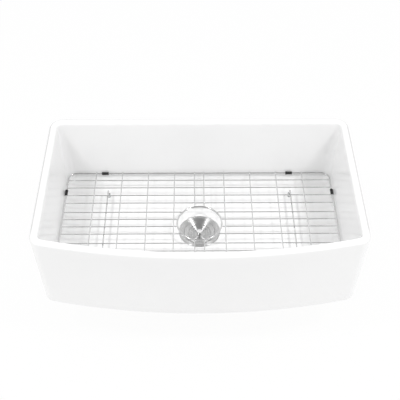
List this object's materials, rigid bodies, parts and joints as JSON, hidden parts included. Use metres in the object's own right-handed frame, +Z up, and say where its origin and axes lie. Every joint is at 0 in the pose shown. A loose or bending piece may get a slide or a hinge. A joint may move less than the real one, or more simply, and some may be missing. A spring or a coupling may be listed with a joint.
{
  "type": "farmhouse apron front sink",
  "caption": "White fireclay farmhouse sink with a bowed apron, a lift-out stainless bottom grid with rubber bumpers, and a flanged basket strainer with its clamping hardware and tailpiece.",
  "frame": {"origin": "on the flat underside of the bowl, on the sink's centreline, 75 mm in from the back face, where the sink rests on the back rail of its support", "axes": "+Z up, +Y to the back face, the bowed apron faces -Y, +X to the right when seen from the front"},
  "size_m": [0.8376, 0.5076, 0.4023],
  "materials": {
    "fireclay": "white gloss glaze",
    "stainless_wire": "electropolished drawn wire",
    "spun_stainless": "spun and brushed in circles",
    "black_rubber": "moulded, matt",
    "clear_vinyl": "soft clear moulded",
    "plain_brass": "turned",
    "cast_nut": "cast and nickel plated",
    "washer_fibre": "pressed fibre",
    "white_nylon": "moulded"
  },
  "bodies": {
    "sink": {"sink_bowl": "fireclay", "strainer_body": "spun_stainless", "flange_seal": "black_rubber", "outlet_nipple": "plain_brass", "sink_gasket": "black_rubber", "friction_washer": "washer_fibre", "locknut": "cast_nut", "tailpiece_washer": "white_nylon", "coupling_nut": "cast_nut", "tailpiece": "spun_stainless"},
    "basket": {"basket_dish": "spun_stainless", "basket_post": "spun_stainless", "basket_knob": "spun_stainless", "basket_stopper": "black_rubber", "stopper_nut": "plain_brass"},
    "grid": {"grid_rail": "stainless_wire", "grid_ring": "stainless_wire", "grid_column_left_1": "stainless_wire", "grid_column_left_2": "stainless_wire", "grid_column_left_3": "stainless_wire", "grid_column_left_4": "stainless_wire", "grid_column_left_centre_back": "stainless_wire", "grid_column_left_centre_front": "stainless_wire", "grid_column_right_1": "stainless_wire", "grid_column_right_2": "stainless_wire", "grid_column_right_3": "stainless_wire", "grid_column_right_4": "stainless_wire", "grid_column_right_centre_back": "stainless_wire", "grid_column_right_centre_front": "stainless_wire", "grid_row_back_1": "stainless_wire", "grid_row_back_2": "stainless_wire", "grid_row_back_3": "stainless_wire", "grid_row_back_4": "stainless_wire", "grid_row_left_1": "stainless_wire", "grid_row_left_2": "stainless_wire", "grid_row_left_3": "stainless_wire", "grid_row_left_4": "stainless_wire", "grid_row_right_1": "stainless_wire", "grid_row_right_2": "stainless_wire", "grid_row_right_3": "stainless_wire", "grid_row_right_4": "stainless_wire", "grid_row_front_1": "stainless_wire", "grid_row_front_2": "stainless_wire", "grid_row_front_3": "stainless_wire", "grid_row_front_4": "stainless_wire", "grid_row_front_5": "stainless_wire", "grid_row_front_6": "stainless_wire", "grid_leg_left": "stainless_wire", "grid_leg_right": "stainless_wire", "grid_foot_left_back": "clear_vinyl", "grid_foot_left_front": "clear_vinyl", "grid_foot_right_back": "clear_vinyl", "grid_foot_right_front": "clear_vinyl", "grid_bumper_back_left": "black_rubber", "grid_bumper_back_right": "black_rubber", "grid_bumper_front_left": "black_rubber", "grid_bumper_front_right": "black_rubber", "grid_bumper_left": "black_rubber", "grid_bumper_right": "black_rubber"}
  },
  "joints": [
    {"name": "grid_lift", "type": "slide", "parent": "sink", "child": "grid", "axis": [0, 0, 1], "range_m": [0, 0.24]},
    {"name": "basket_lift", "type": "slide", "parent": "sink", "child": "basket", "axis": [0, 0, 1], "range_m": [0, 0.3]}
  ]
}
